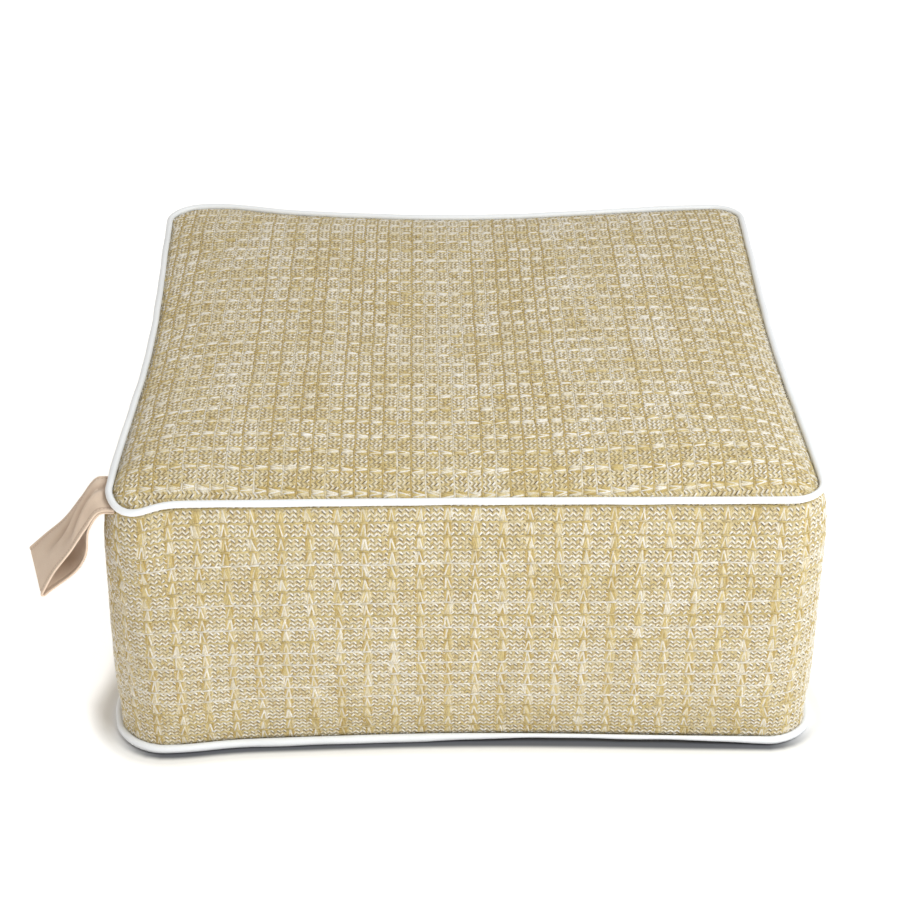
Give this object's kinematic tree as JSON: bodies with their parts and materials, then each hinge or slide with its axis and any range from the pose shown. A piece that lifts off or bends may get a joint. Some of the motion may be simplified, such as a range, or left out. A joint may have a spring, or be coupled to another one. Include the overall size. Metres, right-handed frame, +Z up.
{
  "type": "square pouf stool",
  "caption": "Low square pouf stool: a filled woven cushion with piped top and bottom edges, and a folded tape loop at one corner to lift it by.",
  "frame": {"origin": "on the floor, under the middle of the square plan", "axes": "+X runs to the right along the front edge, +Y from the front to the back, +Z up"},
  "size_m": [0.6976, 0.6286, 0.2773],
  "materials": {
    "woven_cloth": "coarse straw and cream basket weave with thick slub bands, matt",
    "white_piping": "smooth white coated cloth over a cord, slight sheen",
    "blush_tape": "soft blush beige tape, matt, stitched along its edges"
  },
  "bodies": {
    "root": {"cushion": "woven_cloth", "piping_top": "white_piping", "piping_base": "white_piping", "handle_strap": "blush_tape"}
  },
  "joints": []
}
